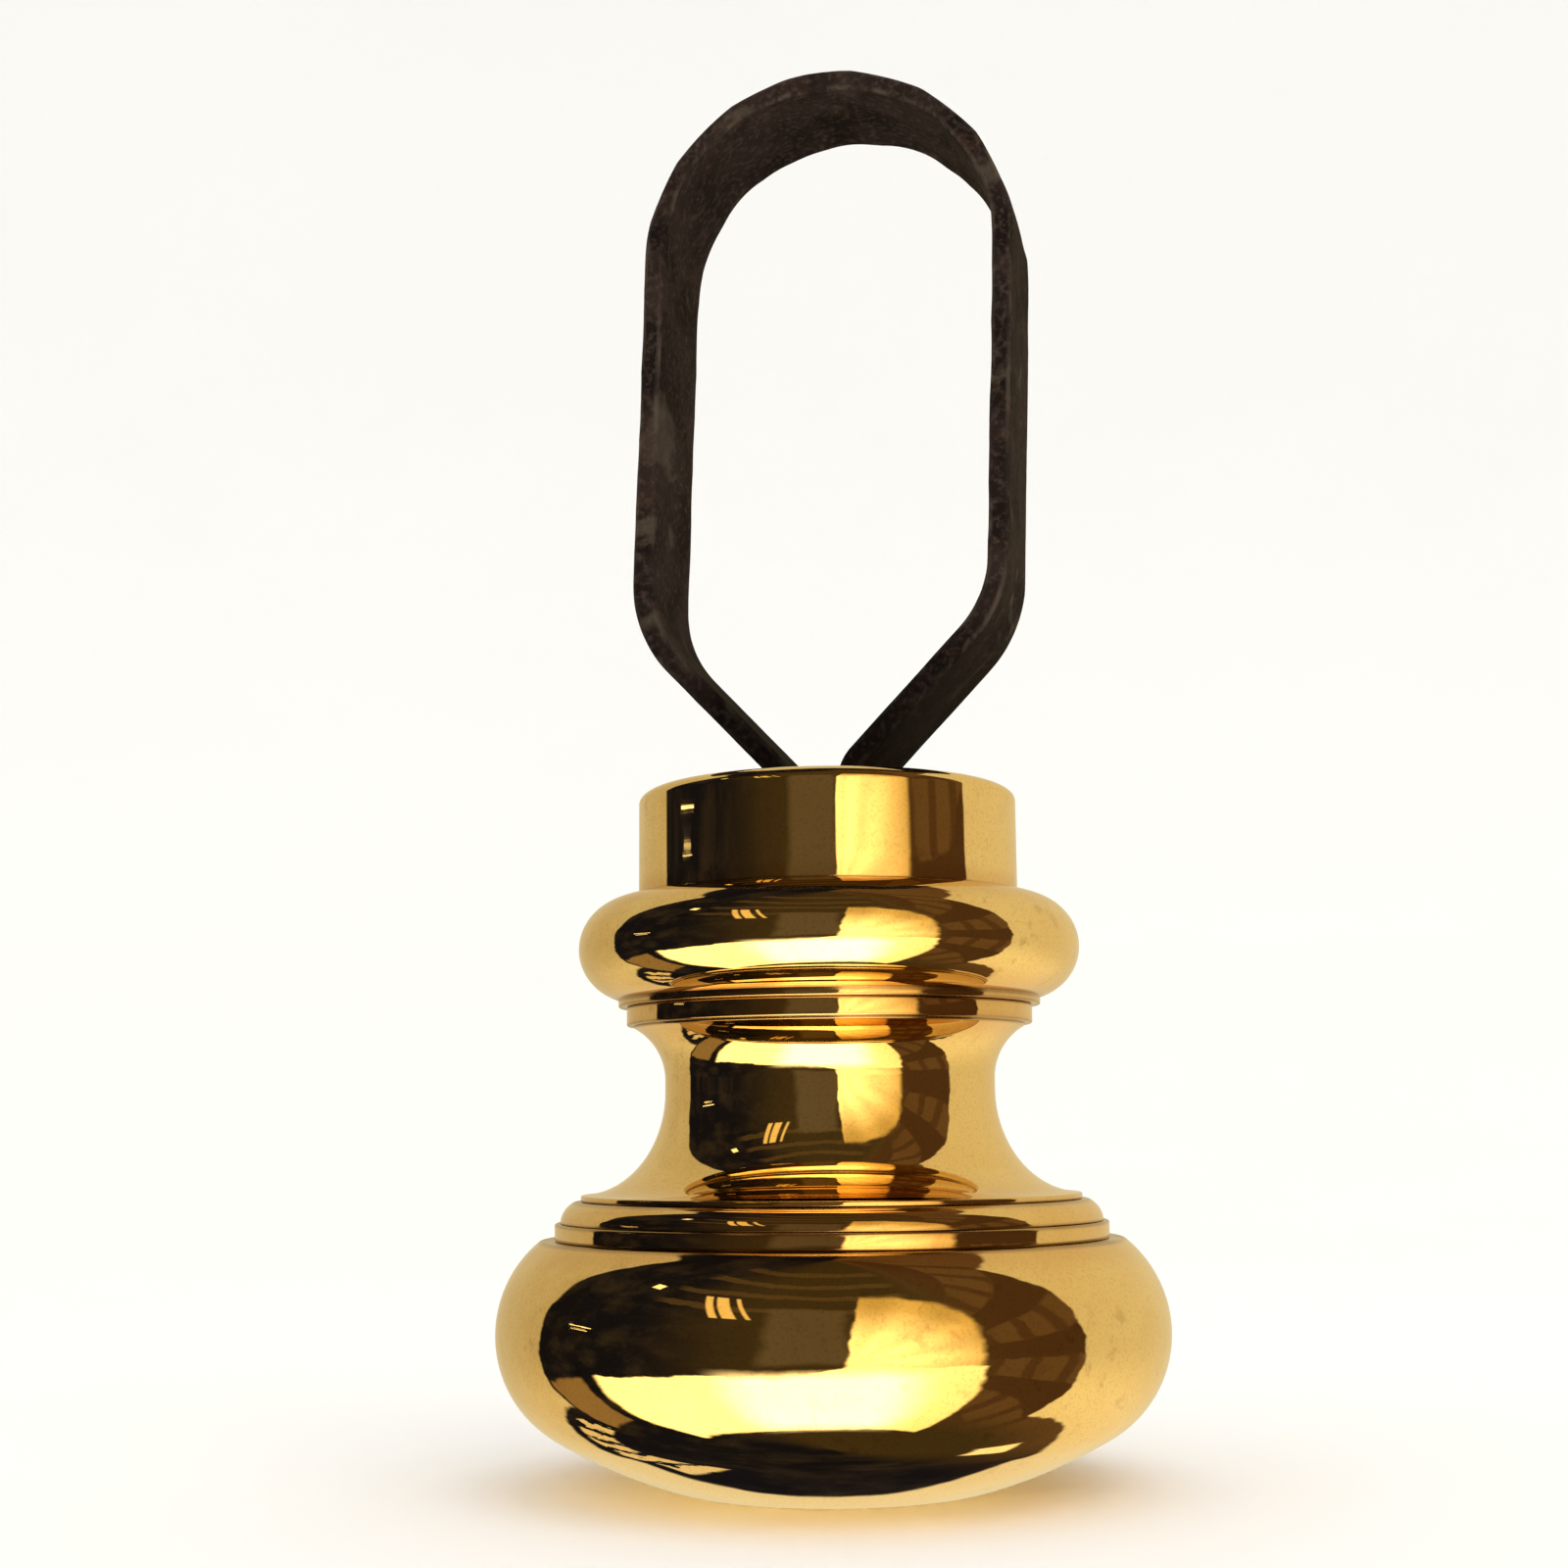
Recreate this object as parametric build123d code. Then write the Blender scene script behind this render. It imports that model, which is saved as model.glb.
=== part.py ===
from build123d import *
import math
import os

os.makedirs("parts", exist_ok=True)

# A handled press weight: turned brass pieces stacked on one tie rod, with a forged
# iron loop handle.  Millimetres, +Z up, origin at the centre of the foot on the ground.
# The loop lies in the XZ plane, so its wide opening faces -Y and +Y.

# ---- driving dimensions of the turned stack -------------------------------------
FOOT_R = 21.5             # flat foot that rests on the table
BULB_R = 44.2             # largest radius of the bulb
BULB_SIDE_R = 15.0        # radius of the rounded side of the bulb
BULB_MID_Z = 19.6         # height of the bulb's widest circle
BULB_UNDER_Z = 7.0        # where the rounded side meets the flatter underside
BULB_UNDER_SAG = 0.55     # outward bow of the underside between foot and side
STEP_Z = 31.4             # seat of the step ring on the bulb
STEP_R = 36.6
BEAD_Z = 33.6             # seat of the bead ring
BEAD_R = 35.9
BEAD_TOP_R = 34.0
BEAD_DROP = 0.4           # how far the bead has turned in at half its height
NECK_Z = 36.4             # seat of the neck
LIP_R = 33.2              # thin lip at the bottom of the neck
LIP_H = 0.8
WAIST_R = 22.05           # narrowest circle of the neck
WAIST_Z = 50.7
NECK_TOP_R = 26.2
COVE_R = 8.0              # radius of the hollow under the neck's top edge
FILLET_Z = 59.4           # seat of the fillet ring
FILLET_R = 27.2
TORUS_Z = 61.9            # seat of the torus ring
QUIRK_R = 28.3            # small square step under the torus
QUIRK_H = 0.8
TORUS_C_R = 26.25         # centre of the torus section
TORUS_C_Z = 69.65
TORUS_A = 7.4             # half width and half height of the torus section
TORUS_B = 7.0
COLLAR_Z = TORUS_C_Z + TORUS_B
COLLAR_R = 25.6
TOP_Z = 91.2              # flat top of the collar
RIM_A = 3.3               # rounding of the collar's top rim, across and down
RIM_B = 1.85
EDGE = 0.25               # broken edge on every seam

# ---- driving dimensions of the loop handle --------------------------------------
BAR_W = 20.0              # flat bar, width along Y
BAR_T = 3.0
LOOP_HALF = 24.4          # half width of the loop, to the middle of the bar
LEG_HALF = 4.8            # half spacing of the two tangs, to the middle of the bar
LEG_Z = TOP_Z + 2.0       # where the legs leave the vertical
BEND_Z = {-1: 112.2, 1: 115.4}   # corners where the slanted legs turn upright, left and right
ARCH_Z = 165.4            # centre of the round arch
LEG_BEND_R = 5.0
SIDE_BEND_R = 16.0
LEAN_DEG = 2.05           # the loop leans a little to +X, as it was set by hand
TANG_END_Z = 74.0

# ---- driving dimensions of the hidden fastening ---------------------------------
SLOT_GAP = 0.15           # clearance of each tang in its slot, all round
CAP_T = 6.0               # thickness of the collar's top plate
CAVITY_R = 13.5
CAVITY_FLOOR_Z = 65.6
BLOCK_HALF_Y = 8.0
BLOCK_BOTTOM_Z = 66.5
BLOCK_TOP_GAP = 0.3
BOSS_R = 6.0              # round boss under the block, tapped for the rod
RIVET_R = 2.5
RIVET_Z = 80.5
RIVET_HEAD_R = 4.2
RIVET_HEAD_T = 1.5
ROD_R = 4.0
ROD_HOLE_R = 4.2
ROD_TOP_Z = 73.5
ROD_BOTTOM_Z = 1.0
NUT_FLATS = 13.0
NUT_H = 6.5
WASHER_R = 9.0
WASHER_H = 1.6
RECESS_R = 11.5
RECESS_H = 10.0


def point(r, z):
    return Vector(r, 0, z)


def polar(center_r, center_z, half_w, half_h, degrees):
    """Point on an ellipse in the XZ plane."""
    angle = math.radians(degrees)
    return point(center_r + half_w * math.cos(angle), center_z + half_h * math.sin(angle))


def quarter(center_r, center_z, half_w, half_h, start, end):
    """Elliptical arc in the XZ plane from one angle to another, in degrees."""
    plane = Plane(origin=(center_r, 0, center_z), x_dir=(1, 0, 0), z_dir=(0, -1, 0))
    if end > start:
        return Edge.make_ellipse(half_w, half_h, plane, start, end)
    return Edge.make_ellipse(half_w, half_h, plane, end, start)


def turned(edges):
    """Solid of revolution about Z from the edges of a closed half section."""
    return revolve(make_face(Wire(edges)), Axis.Z)


def line(*corners):
    return [Edge.make_line(a, b) for a, b in zip(corners[:-1], corners[1:])]


def ring(r_in, r_out, z_low, z_high):
    outer = Cylinder(r_out, z_high - z_low, align=(Align.CENTER, Align.CENTER, Align.MIN))
    inner = Cylinder(r_in, z_high - z_low, align=(Align.CENTER, Align.CENTER, Align.MIN))
    return Pos(0, 0, z_low) * (outer - inner)


def foot_bulb():
    """Oblate bulb with a flatter underside, a flat foot and a recess for the nut."""
    side_c = BULB_R - BULB_SIDE_R
    under_angle = math.degrees(math.asin((BULB_UNDER_Z - BULB_MID_Z) / BULB_SIDE_R))
    top_angle = math.degrees(math.asin((STEP_Z - BULB_MID_Z) / BULB_SIDE_R))
    under = polar(side_c, BULB_MID_Z, BULB_SIDE_R, BULB_SIDE_R, under_angle)
    top = polar(side_c, BULB_MID_Z, BULB_SIDE_R, BULB_SIDE_R, top_angle)
    foot = point(FOOT_R, 0)
    chord = under - foot
    out = Vector(chord.Z, 0, -chord.X).normalized()
    bow = foot + chord * 0.5 + out * BULB_UNDER_SAG
    edges = line(foot, point(ROD_HOLE_R, 0), point(ROD_HOLE_R, STEP_Z), top)
    edges.append(Edge.make_circle(BULB_SIDE_R, Plane((side_c, 0, BULB_MID_Z), (1, 0, 0), (0, -1, 0)),
                                  under_angle, top_angle))
    edges.append(Edge.make_three_point_arc(foot, bow, under))
    recess = Cylinder(RECESS_R, RECESS_H, align=(Align.CENTER, Align.CENTER, Align.MIN))
    return turned(edges) - recess


def step_ring():
    """Plain square fillet between the bulb and the bead."""
    solid = ring(ROD_HOLE_R, STEP_R, STEP_Z, BEAD_Z)
    return chamfer(outer_edges(solid, STEP_R), EDGE)


def outer_edges(solid, radius):
    """The circular edges of a turned solid that have the given radius."""
    circles = solid.edges().filter_by(GeomType.CIRCLE)
    return circles.filter_by(lambda e: abs(e.radius - radius) < 0.01)


def bead_ring():
    """Narrow convex bead that the neck's lip stands on."""
    low = point(BEAD_R, BEAD_Z)
    high = point(BEAD_TOP_R, NECK_Z)
    side = point(BEAD_R - BEAD_DROP, (BEAD_Z + NECK_Z) / 2)
    edges = line(high, point(ROD_HOLE_R, NECK_Z), point(ROD_HOLE_R, BEAD_Z), low)
    edges.append(Edge.make_three_point_arc(low, side, high))
    return turned(edges)


def neck():
    """Scotia: a hollow curve from the wide lip in to the waist, and a cove out to the top."""
    lip_top = NECK_Z + LIP_H
    lower = quarter(LIP_R, WAIST_Z, LIP_R - WAIST_R, WAIST_Z - lip_top, 180, 270)
    turn = math.degrees(math.acos((COVE_R + WAIST_R - NECK_TOP_R) / COVE_R))
    cove_z = FILLET_Z - EDGE - COVE_R * math.sin(math.radians(turn))
    cove_plane = Plane((WAIST_R + COVE_R, 0, cove_z), (1, 0, 0), (0, -1, 0))
    edges = [lower, Edge.make_circle(COVE_R, cove_plane, 180 - turn, 180)]
    edges += line(point(WAIST_R, WAIST_Z), point(WAIST_R, cove_z))
    edges += line(
        point(NECK_TOP_R, FILLET_Z - EDGE), point(NECK_TOP_R, FILLET_Z), point(ROD_HOLE_R, FILLET_Z),
        point(ROD_HOLE_R, NECK_Z), point(LIP_R - EDGE, NECK_Z), point(LIP_R, NECK_Z + EDGE),
        point(LIP_R, lip_top))
    return turned(edges)


def fillet_ring():
    """Plain square fillet between the neck and the torus."""
    solid = ring(ROD_HOLE_R, FILLET_R, FILLET_Z, TORUS_Z)
    return chamfer(outer_edges(solid, FILLET_R), EDGE)


def torus_ring():
    """Large half-round moulding on a small square step, with a cavity for the anchor."""
    step_top = TORUS_Z + QUIRK_H
    meet = math.degrees(math.acos((QUIRK_R - TORUS_C_R) / TORUS_A))
    meet_point = polar(TORUS_C_R, TORUS_C_Z, TORUS_A, TORUS_B, -meet)
    crest = point(TORUS_C_R, COLLAR_Z)
    edges = line(
        crest, point(CAVITY_R, COLLAR_Z), point(CAVITY_R, CAVITY_FLOOR_Z),
        point(ROD_HOLE_R, CAVITY_FLOOR_Z), point(ROD_HOLE_R, TORUS_Z),
        point(QUIRK_R - EDGE, TORUS_Z), point(QUIRK_R, TORUS_Z + EDGE), point(QUIRK_R, step_top))
    if meet_point.Z > step_top:
        edges += line(point(QUIRK_R, step_top), meet_point)
    edges.append(quarter(TORUS_C_R, TORUS_C_Z, TORUS_A, TORUS_B, -meet, 90))
    return turned(edges)


def tang_box(x_center, growth):
    """Straight bar inside the collar, larger than the bar by growth on every side."""
    width = BAR_T + 2 * growth
    depth = BAR_W + 2 * growth
    height = TOP_Z + 1.0 - TANG_END_Z
    box = Box(width, depth, height, align=(Align.CENTER, Align.CENTER, Align.MIN))
    return Pos(x_center, 0, TANG_END_Z) * box


def collar_cap():
    """Plain round collar with a rounded rim and two slots for the tangs."""
    under_plate = TOP_Z - CAP_T
    rim = quarter(COLLAR_R - RIM_A, TOP_Z - RIM_B, RIM_A, RIM_B, 0, 90)
    edges = [rim]
    edges += line(
        point(COLLAR_R - RIM_A, TOP_Z), point(0, TOP_Z), point(0, under_plate),
        point(CAVITY_R, under_plate), point(CAVITY_R, COLLAR_Z), point(COLLAR_R - EDGE, COLLAR_Z),
        point(COLLAR_R, COLLAR_Z + EDGE), point(COLLAR_R, TOP_Z - RIM_B))
    solid = turned(edges)
    for side in (-1, 1):
        solid -= tang_box(side * LEG_HALF, SLOT_GAP)
    return solid


def leaned(x, z):
    """Point of the loop after it leans towards +X about the top of the collar."""
    angle = math.radians(LEAN_DEG)
    dz = z - LEG_Z
    return point(x * math.cos(angle) + dz * math.sin(angle),
                 LEG_Z + dz * math.cos(angle) - x * math.sin(angle))


def half_path(side):
    """One leg of the loop: tang, slanted part and upright, up to the arch."""
    corners = [point(side * LEG_HALF, TANG_END_Z), point(side * LEG_HALF, LEG_Z),
               leaned(side * LOOP_HALF, BEND_Z[side]), leaned(side * LOOP_HALF, ARCH_Z)]
    return FilletPolyline(*corners, radius=[LEG_BEND_R, SIDE_BEND_R])


def handle_strap():
    """Flat bar bent into a loop, with two parallel tangs that the rivet passes through."""
    arch = Edge.make_three_point_arc(
        leaned(-LOOP_HALF, ARCH_Z), leaned(0, ARCH_Z + LOOP_HALF), leaned(LOOP_HALF, ARCH_Z))
    path = Wire([*half_path(-1).edges(), arch, *half_path(1).edges()])
    start = Plane(origin=(-LEG_HALF, 0, TANG_END_Z), x_dir=(1, 0, 0), z_dir=(0, 0, 1))
    solid = sweep(start * Rectangle(BAR_T, BAR_W), path=path)
    return solid - rivet_bar(RIVET_R)


def rivet_bar(radius):
    """Bar along X through both tangs at the rivet's height."""
    length = 2 * (LEG_HALF + BAR_T / 2)
    return Pos(0, 0, RIVET_Z) * Rot(0, 90, 0) * Cylinder(radius, length)


def anchor_block():
    """Steel block between the tangs, riveted to them and tapped for the rod."""
    half_x = LEG_HALF - BAR_T / 2
    height = TOP_Z - CAP_T - BLOCK_TOP_GAP - BLOCK_BOTTOM_Z
    box = Box(2 * half_x, 2 * BLOCK_HALF_Y, height, align=(Align.CENTER, Align.CENTER, Align.MIN))
    boss_h = ROD_TOP_Z - BLOCK_BOTTOM_Z
    boss = Cylinder(BOSS_R, boss_h, align=(Align.CENTER, Align.CENTER, Align.MIN))
    rod_hole = Cylinder(ROD_R, boss_h, align=(Align.CENTER, Align.CENTER, Align.MIN))
    solid = Pos(0, 0, BLOCK_BOTTOM_Z) * (box + boss - rod_hole)
    return solid - rivet_bar(RIVET_R)


def anchor_rivet():
    """Rivet through tangs and block, with a domed head on each end."""
    solid = rivet_bar(RIVET_R)
    reach = LEG_HALF + BAR_T / 2
    for side in (-1, 1):
        head = Cylinder(RIVET_HEAD_R, RIVET_HEAD_T, align=(Align.CENTER, Align.CENTER, Align.MIN))
        head = fillet(head.edges().sort_by(Axis.Z)[-1:], RIVET_HEAD_T * 0.6)
        solid += Pos(side * reach, 0, RIVET_Z) * Rot(0, 90 * side, 0) * head
    return solid


def tie_rod():
    """Round rod that holds the stack together, with a broken edge at each end."""
    rod = Cylinder(ROD_R, ROD_TOP_Z - ROD_BOTTOM_Z, align=(Align.CENTER, Align.CENTER, Align.MIN))
    rod = chamfer(rod.edges().filter_by(GeomType.CIRCLE), EDGE * 2)
    return Pos(0, 0, ROD_BOTTOM_Z) * rod


def base_washer():
    return ring(ROD_HOLE_R, WASHER_R, RECESS_H - WASHER_H, RECESS_H)


def base_nut():
    """Hexagon nut with rounded corners, in the recess under the foot."""
    z_low = RECESS_H - WASHER_H - NUT_H
    hexagon = extrude(RegularPolygon(NUT_FLATS / 2, 6, major_radius=False), NUT_H)
    corner_cut = Cylinder(NUT_FLATS / 2 * 1.12, NUT_H, align=(Align.CENTER, Align.CENTER, Align.MIN))
    hole = Cylinder(ROD_R, NUT_H, align=(Align.CENTER, Align.CENTER, Align.MIN))
    return Pos(0, 0, z_low) * ((hexagon & corner_cut) - hole)


NODES = {
    "foot_bulb": foot_bulb,
    "step_ring": step_ring,
    "bead_ring": bead_ring,
    "neck_scotia": neck,
    "fillet_ring": fillet_ring,
    "torus_ring": torus_ring,
    "collar_cap": collar_cap,
    "handle_strap": handle_strap,
    "anchor_block": anchor_block,
    "anchor_rivet": anchor_rivet,
    "tie_rod": tie_rod,
    "base_washer": base_washer,
    "base_nut": base_nut,
}

for name, build in NODES.items():
    export_step(build(), f"parts/{name}.step")
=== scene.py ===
import math

import bmesh
import bpy
from mathutils import Matrix, Vector, noise


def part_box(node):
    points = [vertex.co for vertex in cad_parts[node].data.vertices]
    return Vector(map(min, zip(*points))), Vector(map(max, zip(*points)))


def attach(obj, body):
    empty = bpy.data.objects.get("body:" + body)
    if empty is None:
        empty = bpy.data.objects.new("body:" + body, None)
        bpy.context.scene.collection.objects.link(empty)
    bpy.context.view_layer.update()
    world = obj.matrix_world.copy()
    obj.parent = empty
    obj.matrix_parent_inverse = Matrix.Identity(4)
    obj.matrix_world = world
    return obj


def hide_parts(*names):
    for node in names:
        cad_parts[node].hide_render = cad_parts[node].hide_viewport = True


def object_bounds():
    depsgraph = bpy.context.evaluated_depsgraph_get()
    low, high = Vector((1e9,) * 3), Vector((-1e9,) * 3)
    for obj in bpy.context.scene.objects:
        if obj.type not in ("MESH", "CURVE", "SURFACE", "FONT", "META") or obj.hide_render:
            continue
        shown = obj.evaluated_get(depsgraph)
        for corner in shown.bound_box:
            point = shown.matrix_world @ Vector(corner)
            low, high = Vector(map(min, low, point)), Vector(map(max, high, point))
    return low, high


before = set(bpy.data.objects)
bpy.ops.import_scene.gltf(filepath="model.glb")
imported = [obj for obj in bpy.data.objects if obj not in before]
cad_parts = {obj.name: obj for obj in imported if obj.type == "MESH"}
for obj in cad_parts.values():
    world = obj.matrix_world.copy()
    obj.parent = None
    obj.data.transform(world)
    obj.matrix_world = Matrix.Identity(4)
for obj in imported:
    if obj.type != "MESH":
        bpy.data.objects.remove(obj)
CAD_LO, CAD_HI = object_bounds()

MM = 0.001
SPIN_STEPS = 288          # segments round each turned piece

# ---- seats and radii of the turned stack, from the frame --------------------------
FOOT_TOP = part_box("foot_bulb")[1].z / MM
BEAD_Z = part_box("bead_ring")[0].z / MM
NECK_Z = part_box("neck_scotia")[0].z / MM
FILLET_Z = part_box("fillet_ring")[0].z / MM
TORUS_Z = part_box("torus_ring")[0].z / MM
COLLAR_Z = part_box("collar_cap")[0].z / MM
TOP_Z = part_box("collar_cap")[1].z / MM
BULB_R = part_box("foot_bulb")[1].x / MM
STEP_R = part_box("step_ring")[1].x / MM
BEAD_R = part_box("bead_ring")[1].x / MM
LIP_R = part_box("neck_scotia")[1].x / MM
FILLET_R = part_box("fillet_ring")[1].x / MM
TORUS_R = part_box("torus_ring")[1].x / MM
COLLAR_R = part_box("collar_cap")[1].x / MM
BORE_R = 4.2              # hole for the tie rod
CAVITY_R = 13.5           # cavity for the anchor inside torus and collar


# ================================================================ node helpers
class Nodes:
    """Short calls for building one node tree."""

    def __init__(self, tree):
        self.tree = tree

    def add(self, kind, inputs=None, **props):
        node = self.tree.nodes.new(kind)
        for key, value in props.items():
            setattr(node, key, value)
        for key, value in (inputs or {}).items():
            self.set(node.inputs[key], value)
        return node

    def set(self, socket, value):
        if isinstance(value, bpy.types.NodeSocket):
            self.tree.links.new(value, socket)
        elif isinstance(value, tuple) and len(value) == 3 and socket.type == "RGBA":
            socket.default_value = (*value, 1)
        else:
            socket.default_value = value

    def math(self, operation, a, b=0.0, clamp=False):
        node = self.add("ShaderNodeMath", {0: a, 1: b}, operation=operation, use_clamp=clamp)
        return node.outputs[0]

    def noise(self, vector, scale, detail=4.0, rough=0.5, distortion=0.0):
        node = self.add("ShaderNodeTexNoise", {"Vector": vector, "Scale": scale, "Detail": detail,
                                               "Roughness": rough, "Distortion": distortion})
        return node.outputs["Fac"]

    def remap(self, value, low, high, to_low=0.0, to_high=1.0, smooth=False):
        kind = "SMOOTHSTEP" if smooth else "LINEAR"
        node = self.add("ShaderNodeMapRange", {0: value, 1: low, 2: high, 3: to_low, 4: to_high},
                        interpolation_type=kind)
        return node.outputs[0]

    def mix(self, factor, a, b, blend="MIX"):
        node = self.add("ShaderNodeMix", data_type="RGBA", blend_type=blend)
        for socket, value in ((0, factor), (6, a), (7, b)):
            self.set(node.inputs[socket], value)
        return node.outputs[2]

    def between(self, value, low, high, soft):
        """1 between low and high, fading over soft at each side."""
        up = self.remap(value, low - soft, low + soft, smooth=True)
        down = self.remap(value, high - soft, high + soft, smooth=True)
        return self.math("SUBTRACT", up, down, clamp=True)


def new_material(name):
    mat = bpy.data.materials.new(name)
    mat.use_nodes = True
    mat.node_tree.nodes.clear()
    return mat, Nodes(mat.node_tree)


def finish_material(nodes, surface):
    nodes.add("ShaderNodeOutputMaterial", {"Surface": surface})


# ================================================================ materials
def brass(name, seams):
    """Mirror-polished brass: turning lines, fine speckle, tarnish spots, dark seams."""
    mat, n = new_material(name)
    place = n.add("ShaderNodeTexCoord").outputs["Object"]
    xyz = n.add("ShaderNodeSeparateXYZ", {0: place})
    flat = n.add("ShaderNodeCombineXYZ", {0: xyz.outputs[0], 1: xyz.outputs[1]})
    radius = n.add("ShaderNodeVectorMath", {0: flat.outputs[0]}, operation="LENGTH").outputs["Value"]
    rings = n.add("ShaderNodeCombineXYZ", {0: radius, 1: xyz.outputs[2], 2: 0.0}).outputs[0]

    turning = n.noise(rings, 900, 3, 0.6)
    waves = n.noise(rings, 160, 2, 0.5)
    drift = n.noise(place, 38, 3, 0.5)
    speckle = n.noise(place, 2600, 2, 0.6)
    cloud = n.noise(place, 55, 5, 0.6, 0.4)
    smudge = n.remap(n.noise(place, 95, 6, 0.65, 0.8), 0.52, 0.72, 0, 1, True)

    # distance to the nearest seam, then the dark line in it and the brown haze round it
    gap = 1.0
    for height in seams:
        away = n.math("ABSOLUTE", n.math("SUBTRACT", xyz.outputs[2], height * MM))
        gap = n.math("MINIMUM", gap, away)
    seam = n.remap(gap, 0.0, 0.55 * MM, 1, 0, True)
    seam = n.math("MULTIPLY", seam, n.remap(cloud, 0.3, 0.7, 0.55, 1.0))
    halo = n.remap(gap, 0.3 * MM, 3.2 * MM, 1, 0, True)
    halo = n.math("MULTIPLY", halo, n.remap(drift, 0.35, 0.65, 0.35, 0.8))

    colour = n.mix(n.remap(cloud, 0.35, 0.7), (0.92, 0.70, 0.32), (0.857, 0.603, 0.245))
    fine = n.remap(speckle, 0.50, 0.68, 0, 0.38)
    colour = n.mix(fine, colour, (0.575, 0.378, 0.160))
    spots = n.remap(n.noise(place, 340, 4, 0.65), 0.56, 0.70, 0, 1, True)
    spots = n.math("MULTIPLY", spots, n.remap(n.noise(place, 34, 3, 0.5), 0.46, 0.62, 0.06, 0.55, True))
    colour = n.mix(spots, colour, (0.560, 0.360, 0.150))
    colour = n.mix(n.math("MULTIPLY", halo, 0.68), colour, (0.648, 0.335, 0.115))
    colour = n.mix(n.math("MULTIPLY", seam, 0.8), colour, (0.178, 0.104, 0.056))

    rough = n.remap(turning, 0.3, 0.7, 0.012, 0.036)
    rough = n.math("ADD", rough, n.math("MULTIPLY", smudge, 0.045))
    rough = n.math("ADD", rough, n.math("MULTIPLY", seam, 0.22))

    bump = n.add("ShaderNodeBump", {"Strength": 0.35, "Distance": 0.00002, "Height": waves})
    bump = n.add("ShaderNodeBump", {"Strength": 0.25, "Distance": 0.000006, "Height": turning,
                                    "Normal": bump.outputs[0]})
    bump = n.add("ShaderNodeBump", {"Strength": 0.30, "Distance": 0.00007, "Height": drift,
                                    "Normal": bump.outputs[0]})
    shader = n.add("ShaderNodeBsdfPrincipled", {
        "Base Color": colour, "Metallic": 1.0, "Roughness": rough, "Normal": bump.outputs[0]})
    finish_material(n, shader.outputs[0])
    return mat


def forged_iron():
    """Black-brown forge scale: mottled, rusty and dusty in places, rubbed edges, painted shade on the
    legs near the collar.
    """
    mat, n = new_material("forged_iron_scale")
    place = n.add("ShaderNodeTexCoord").outputs["Object"]
    height = n.add("ShaderNodeSeparateXYZ", {0: place}).outputs[2]
    edge = n.add("ShaderNodeAttribute", attribute_name="worn").outputs["Fac"]
    patches = n.noise(place, 85, 6, 0.6, 0.6)
    grain = n.noise(place, 1100, 5, 0.65)
    blotch = n.noise(place, 240, 5, 0.6, 1.2)
    streak = n.add("ShaderNodeMapping", {"Vector": place, "Scale": (1.0, 1.0, 0.12)}).outputs[0]
    drawn = n.noise(streak, 420, 4, 0.6)

    colour = n.mix(n.remap(patches, 0.40, 0.64), (0.0105, 0.0069, 0.0055), (0.0300, 0.0188, 0.0147))
    rust = n.math("MULTIPLY", n.remap(blotch, 0.56, 0.70, 0, 1, True), 0.5)
    colour = n.mix(rust, colour, (0.048, 0.025, 0.015))
    settled = n.noise(place, 105, 5, 0.6, 0.7)
    dust = n.math("MULTIPLY", n.remap(settled, 0.56, 0.70, 0, 1, True), 0.62)
    colour = n.mix(dust, colour, (0.080, 0.061, 0.042))
    colour = n.mix(n.remap(grain, 0.49, 0.72, 0, 0.55), colour, (0.092, 0.066, 0.050))
    wear = n.math("MULTIPLY", edge, n.remap(drawn, 0.42, 0.62, 0.1, 1.0, True), True)
    colour = n.mix(n.math("MULTIPLY", wear, 0.6), colour, (0.150, 0.118, 0.092))
    # painted shade: the iron darkened towards the collar, full colour again just above the right leg's
    # bend
    painted_shade = n.remap(height, (TOP_Z + 5) * MM, (BEND_Z[1] + 6) * MM, 0.32, 1.0, True)
    colour = n.mix(1.0, colour, painted_shade, "MULTIPLY")

    rough = n.remap(grain, 0.3, 0.7, 0.58, 0.80)
    rough = n.math("SUBTRACT", rough, n.math("MULTIPLY", wear, 0.12))
    metal = n.math("MULTIPLY", wear, 0.5)
    bump = n.add("ShaderNodeBump", {"Strength": 0.6, "Distance": 0.00012, "Height": grain})
    bump = n.add("ShaderNodeBump", {"Strength": 0.55, "Distance": 0.00026, "Height": blotch,
                                    "Normal": bump.outputs[0]})
    bump = n.add("ShaderNodeBump", {"Strength": 0.35, "Distance": 0.00010, "Height": drawn,
                                    "Normal": bump.outputs[0]})
    shader = n.add("ShaderNodeBsdfPrincipled", {
        "Base Color": colour, "Metallic": metal, "Roughness": rough, "Normal": bump.outputs[0],
        "IOR": 1.3, "Specular IOR Level": 0.03})
    finish_material(n, shader.outputs[0])
    return mat


def machined_steel():
    """Plain turned and milled steel of the hidden fastening."""
    mat, n = new_material("machined_steel")
    place = n.add("ShaderNodeTexCoord").outputs["Object"]
    lines = n.add("ShaderNodeMapping", {"Vector": place, "Scale": (1.0, 1.0, 6.0)}).outputs[0]
    cut = n.noise(lines, 700, 4, 0.6)
    cloud = n.noise(place, 180, 4, 0.5)
    colour = n.mix(n.remap(cloud, 0.35, 0.7), (0.42, 0.42, 0.43), (0.27, 0.26, 0.255))
    rough = n.remap(cut, 0.3, 0.7, 0.28, 0.48)
    bump = n.add("ShaderNodeBump", {"Strength": 0.4, "Distance": 0.00004, "Height": cut})
    shader = n.add("ShaderNodeBsdfPrincipled", {
        "Base Color": colour, "Metallic": 1.0, "Roughness": rough, "Normal": bump.outputs[0]})
    finish_material(n, shader.outputs[0])
    return mat


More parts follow.
